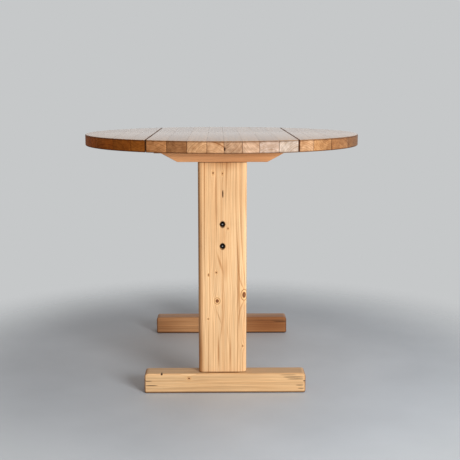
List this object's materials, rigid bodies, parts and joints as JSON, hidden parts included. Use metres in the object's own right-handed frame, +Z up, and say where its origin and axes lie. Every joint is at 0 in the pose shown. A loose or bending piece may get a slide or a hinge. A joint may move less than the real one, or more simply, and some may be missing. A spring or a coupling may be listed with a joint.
{
  "type": "drop leaf table",
  "caption": "Round pine drop leaf table: fixed centre section and two hinged half-moon leaves on a two-post trestle with sledge feet; pull-out bars hold the leaves up.",
  "frame": {"origin": "on the floor, under the middle of the round top", "axes": "+Z up; the boards of the top run along Y; the leaves are at -X and +X, as left and right; the front post and foot are at -Y"},
  "size_m": [0.85, 0.85, 0.735],
  "materials": {
    "top_pine": "oiled and varnished old pine, semi-gloss",
    "base_pine": "light waxed pine, satin",
    "bearer_pine": "orange-brown waxed pine, satin",
    "plain_pine": "unfinished planed pine, matt",
    "loper_beech": "planed beech rubbed smooth by sliding",
    "dark_steel": "aged dark steel with a bright worn crown",
    "zinc_steel": "dull zinc-plated steel"
  },
  "bodies": {
    "frame": {"centre_plank_1": "top_pine", "centre_plank_2": "top_pine", "centre_plank_3": "top_pine", "centre_plank_4": "top_pine", "centre_plank_5": "top_pine", "centre_plank_6": "top_pine", "centre_plank_7": "top_pine", "centre_plank_8": "top_pine", "front_barrel_nut_lower": "zinc_steel", "front_barrel_nut_upper": "zinc_steel", "front_bearer": "bearer_pine", "front_bolt_lower": "dark_steel", "front_bolt_upper": "dark_steel", "front_foot": "base_pine", "front_inner_guide_rail": "plain_pine", "front_left_keeper": "plain_pine", "front_outer_guide_rail": "plain_pine", "front_post": "base_pine", "front_right_keeper": "plain_pine", "left_front_hinge_fixed_flap": "zinc_steel", "left_front_hinge_pin": "zinc_steel", "left_rear_hinge_fixed_flap": "zinc_steel", "left_rear_hinge_pin": "zinc_steel", "rear_barrel_nut_lower": "zinc_steel", "rear_barrel_nut_upper": "zinc_steel", "rear_bearer": "bearer_pine", "rear_bolt_lower": "dark_steel", "rear_bolt_upper": "dark_steel", "rear_foot": "base_pine", "rear_inner_guide_rail": "plain_pine", "rear_left_keeper": "plain_pine", "rear_outer_guide_rail": "plain_pine", "rear_post": "base_pine", "rear_right_keeper": "plain_pine", "right_front_hinge_fixed_flap": "zinc_steel", "right_front_hinge_pin": "zinc_steel", "right_rear_hinge_fixed_flap": "zinc_steel", "right_rear_hinge_pin": "zinc_steel", "stretcher": "base_pine"},
    "left_leaf": {"left_front_hinge_moving_flap": "zinc_steel", "left_leaf_plank_1": "top_pine", "left_leaf_plank_2": "top_pine", "left_leaf_plank_3": "top_pine", "left_leaf_plank_4": "top_pine", "left_rear_hinge_moving_flap": "zinc_steel"},
    "right_leaf": {"right_front_hinge_moving_flap": "zinc_steel", "right_leaf_plank_1": "top_pine", "right_leaf_plank_2": "top_pine", "right_leaf_plank_3": "top_pine", "right_leaf_plank_4": "top_pine", "right_rear_hinge_moving_flap": "zinc_steel"},
    "left_front_loper": {"left_front_loper": "loper_beech", "left_front_loper_peg": "plain_pine"},
    "left_rear_loper": {"left_rear_loper": "loper_beech", "left_rear_loper_peg": "plain_pine"},
    "right_front_loper": {"right_front_loper": "loper_beech", "right_front_loper_peg": "plain_pine"},
    "right_rear_loper": {"right_rear_loper": "loper_beech", "right_rear_loper_peg": "plain_pine"}
  },
  "joints": [
    {"name": "left_leaf_hinge", "type": "hinge", "parent": "frame", "child": "left_leaf", "pos_m": [-0.21025, 0, 0.697], "axis": [0, -1, 0], "range_deg": [0, 90]},
    {"name": "right_leaf_hinge", "type": "hinge", "parent": "frame", "child": "right_leaf", "pos_m": [0.21025, 0, 0.697], "axis": [0, 1, 0], "range_deg": [0, 90]},
    {"name": "left_front_loper_slide", "type": "slide", "parent": "frame", "child": "left_front_loper", "axis": [1, 0, 0], "range_m": [-0.15, 0]},
    {"name": "left_rear_loper_slide", "type": "slide", "parent": "frame", "child": "left_rear_loper", "axis": [1, 0, 0], "range_m": [-0.15, 0]},
    {"name": "right_front_loper_slide", "type": "slide", "parent": "frame", "child": "right_front_loper", "axis": [-1, 0, 0], "range_m": [-0.15, 0]},
    {"name": "right_rear_loper_slide", "type": "slide", "parent": "frame", "child": "right_rear_loper", "axis": [-1, 0, 0], "range_m": [-0.15, 0]}
  ]
}
